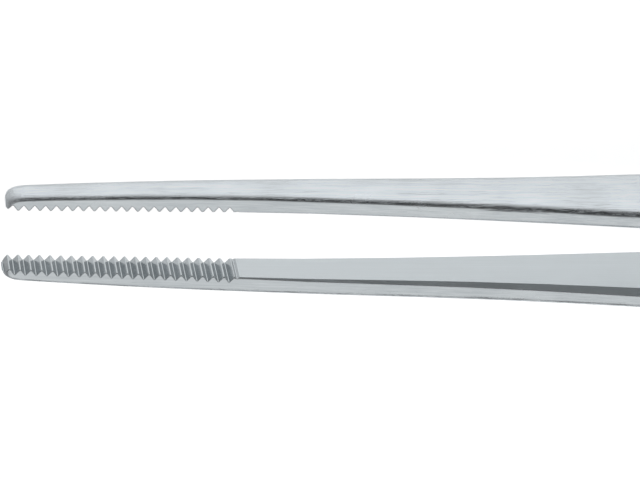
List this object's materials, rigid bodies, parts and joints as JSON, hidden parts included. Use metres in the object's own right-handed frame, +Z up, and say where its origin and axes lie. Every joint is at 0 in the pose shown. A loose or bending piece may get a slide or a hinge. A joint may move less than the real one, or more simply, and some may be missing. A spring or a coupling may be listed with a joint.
{
  "type": "dressing forceps",
  "caption": "Slim stainless dressing forceps: sprung arms welded at the heel taper to blunt jaws with interlocking cross serrations, with grooved thumb grips.",
  "frame": {"origin": "under the middle of the instrument's length, on the middle plane between the arms, on the surface that the edges of both arms rest on", "axes": "+X along the length towards the welded heel, so that the jaws point to -X; +Y from the middle plane towards the upper arm; +Z up, across the width of the arms"},
  "size_m": [0.145, 0.0104, 0.009],
  "materials": {
    "satin_steel": "satin, brushed along the length"
  },
  "bodies": {
    "lower": {"lower_arm": "satin_steel"},
    "upper": {"upper_arm": "satin_steel"}
  },
  "joints": [
    {"name": "squeeze", "type": "hinge", "parent": "lower", "child": "upper", "pos_m": [0.056, 0, 0.0045], "axis": [0, 0, 1], "range_deg": [0, 2.15], "stiffness_Nm_per_rad": 2.5}
  ]
}
